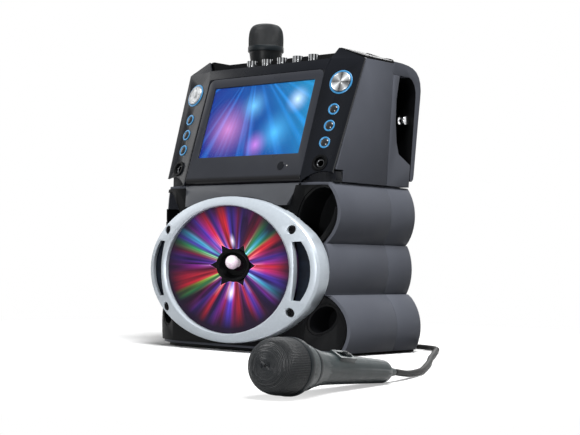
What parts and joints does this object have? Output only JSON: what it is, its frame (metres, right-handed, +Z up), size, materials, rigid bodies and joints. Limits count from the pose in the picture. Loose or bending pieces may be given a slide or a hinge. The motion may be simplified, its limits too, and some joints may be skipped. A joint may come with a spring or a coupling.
{
  "type": "karaoke_machine",
  "caption": "Karaoke machine with a leaning screen door over a disc deck, oval light ring, lobed side walls, top knobs and two wired microphones",
  "frame": {"origin": "middle of the base tray, on the surface that the machine stands on", "axes": "+Z up, -Y is the front with the screen and the light ring, +X is the right side seen from the front"},
  "size_m": [0.551, 0.6747, 0.404],
  "materials": {
    "satin_shell": "satin",
    "black_plastic": "satin",
    "gloss_black": "gloss",
    "rubber": "matte",
    "silver_paint": "satin",
    "dark_screws": "satin",
    "dark_mesh": "satin",
    "reflector": "gloss",
    "clear_ball": "gloss",
    "cone_paper": "matte",
    "iron": "matte",
    "grey_panel": "satin",
    "chrome_trim": "gloss",
    "brushed_dial": "satin",
    "blue_light": "gloss",
    "board_green": "satin",
    "lcd": "gloss",
    "screen_cover": "gloss",
    "white_plastic": "satin",
    "sled_brass": "satin",
    "mic_black": "satin",
    "mic_grey": "satin"
  },
  "bodies": {
    "machine": {"base_tray": "black_plastic", "base_pads": "rubber", "front_cabinet": "satin_shell", "rear_cabinet": "satin_shell", "front_baffle": "black_plastic", "port_cups": "black_plastic", "ring_bezel": "silver_paint", "ring_screws": "dark_screws", "slot_meshes": "dark_mesh", "reflector_dish": "reflector", "led_hub": "black_plastic", "led_lens": "clear_ball", "woofer_frame": "black_plastic", "woofer_cone": "cone_paper", "woofer_magnet": "iron", "lower_panel": "grey_panel", "fascia": "gloss_black", "head_front_shell": "satin_shell", "head_rear_shell": "satin_shell", "rear_arch": "satin_shell", "mic_cups": "black_plastic", "cable_studs": "chrome_trim", "top_deck": "black_plastic", "circuit_boards": "board_green", "light_rings": "blue_light", "mic_jacks": "gloss_black", "hinge_pins": "chrome_trim", "disc_deck": "black_plastic", "rear_jacks": "black_plastic", "front_mic_grille": "dark_mesh", "front_mic_handle": "mic_black", "mic_cord": "rubber", "mic_cord_coil": "rubber", "cord_tie": "rubber", "mic_plug": "chrome_trim"},
    "door": {"door_frame": "gloss_black", "lcd_panel": "lcd", "screen_glass": "screen_cover"},
    "latch": {"door_latch": "white_plastic"},
    "disc_table": {"turntable": "chrome_trim"},
    "screw": {"sled_screw": "sled_brass"},
    "sled": {"laser_sled": "black_plastic"},
    "knob_1_body": {"knob_1": "chrome_trim"},
    "knob_2_body": {"knob_2": "chrome_trim"},
    "knob_3_body": {"knob_3": "chrome_trim"},
    "knob_4_body": {"knob_4": "chrome_trim"},
    "knob_5_body": {"knob_5": "chrome_trim"},
    "left_dial_body": {"left_dial": "brushed_dial"},
    "button_l1_body": {"button_l1": "gloss_black"},
    "button_l2_body": {"button_l2": "gloss_black"},
    "button_l3_body": {"button_l3": "gloss_black"},
    "right_dial_body": {"right_dial": "brushed_dial"},
    "button_r1_body": {"button_r1": "gloss_black"},
    "button_r2_body": {"button_r2": "gloss_black"},
    "button_r3_body": {"button_r3": "gloss_black"},
    "rocker": {"power_switch": "black_plastic"},
    "stored_mic": {"stored_mic_grille": "dark_mesh", "stored_mic_handle": "mic_black"},
    "stored_switch": {"stored_mic_switch": "mic_grey"},
    "front_switch": {"front_mic_switch": "mic_grey"}
  },
  "joints": [
    {"name": "door_hinge", "type": "hinge", "parent": "machine", "child": "door", "pos_m": [0, -0.06928, 0.19533], "axis": [1, 0, 0], "range_deg": [0, 70]},
    {"name": "latch_push", "type": "slide", "parent": "machine", "child": "latch", "axis": [0, -0.9521, 0.3057], "range_m": [-0.002, 0], "stiffness_N_per_m": 300},
    {"name": "disc_spin", "type": "hinge", "parent": "machine", "child": "disc_table", "pos_m": [0, -0.03496, 0.25216], "axis": [0, -0.9521, 0.3057], "continuous": true},
    {"name": "sled_screw_turn", "type": "hinge", "parent": "machine", "child": "screw", "pos_m": [0.03, -0.03122, 0.23436], "axis": [1, 0, 0], "range_deg": [0, 5160]},
    {"name": "sled_travel", "type": "slide", "parent": "machine", "child": "sled", "axis": [1, 0, 0], "range_m": [0, 0.0215]},
    {"name": "knob_1_turn", "type": "hinge", "parent": "machine", "child": "knob_1_body", "pos_m": [-0.0488, -0.0049, 0.335], "axis": [0, 0, 1], "range_deg": [-150, 150]},
    {"name": "knob_2_turn", "type": "hinge", "parent": "machine", "child": "knob_2_body", "pos_m": [-0.0244, -0.0049, 0.335], "axis": [0, 0, 1], "range_deg": [-150, 150]},
    {"name": "knob_3_turn", "type": "hinge", "parent": "machine", "child": "knob_3_body", "pos_m": [0, -0.0049, 0.335], "axis": [0, 0, 1], "range_deg": [-150, 150]},
    {"name": "knob_4_turn", "type": "hinge", "parent": "machine", "child": "knob_4_body", "pos_m": [0.0244, -0.0049, 0.335], "axis": [0, 0, 1], "range_deg": [-150, 150]},
    {"name": "knob_5_turn", "type": "hinge", "parent": "machine", "child": "knob_5_body", "pos_m": [0.0488, -0.0049, 0.335], "axis": [0, 0, 1], "range_deg": [-150, 150]},
    {"name": "left_dial_push", "type": "slide", "parent": "machine", "child": "left_dial_body", "axis": [0.1788, 0.9368, -0.3008], "range_m": [0, 0.001], "stiffness_N_per_m": 500},
    {"name": "button_l1_push", "type": "slide", "parent": "machine", "child": "button_l1_body", "axis": [0.1788, 0.9368, -0.3008], "range_m": [0, 0.0008], "stiffness_N_per_m": 500},
    {"name": "button_l2_push", "type": "slide", "parent": "machine", "child": "button_l2_body", "axis": [0.1788, 0.9368, -0.3008], "range_m": [0, 0.0008], "stiffness_N_per_m": 500},
    {"name": "button_l3_push", "type": "slide", "parent": "machine", "child": "button_l3_body", "axis": [0.1788, 0.9368, -0.3008], "range_m": [0, 0.0008], "stiffness_N_per_m": 500},
    {"name": "right_dial_push", "type": "slide", "parent": "machine", "child": "right_dial_body", "axis": [-0.1788, 0.9368, -0.3008], "range_m": [0, 0.001], "stiffness_N_per_m": 500},
    {"name": "button_r1_push", "type": "slide", "parent": "machine", "child": "button_r1_body", "axis": [-0.1788, 0.9368, -0.3008], "range_m": [0, 0.0008], "stiffness_N_per_m": 500},
    {"name": "button_r2_push", "type": "slide", "parent": "machine", "child": "button_r2_body", "axis": [-0.1788, 0.9368, -0.3008], "range_m": [0, 0.0008], "stiffness_N_per_m": 500},
    {"name": "button_r3_push", "type": "slide", "parent": "machine", "child": "button_r3_body", "axis": [-0.1788, 0.9368, -0.3008], "range_m": [0, 0.0008], "stiffness_N_per_m": 500},
    {"name": "power_rocker", "type": "hinge", "parent": "machine", "child": "rocker", "pos_m": [-0.03, 0.09, 0.05], "axis": [1, 0, 0], "range_deg": [-8, 8]},
    {"name": "stored_mic_lift", "type": "slide", "parent": "machine", "child": "stored_mic", "axis": [0, 0, 1], "range_m": [0, 0.15]},
    {"name": "stored_mic_switch_slide", "type": "slide", "parent": "stored_mic", "child": "stored_switch", "axis": [0, 0, 1], "range_m": [0, 0.009]},
    {"name": "front_mic_switch_slide", "type": "slide", "parent": "machine", "child": "front_switch", "axis": [0.1559, -0.9841, 0.0848], "range_m": [0, 0.009]}
  ],
  "couplings": [
    {"joint": "sled_screw_turn", "follows": "sled_travel", "rad_per_m": 4188.8}
  ]
}
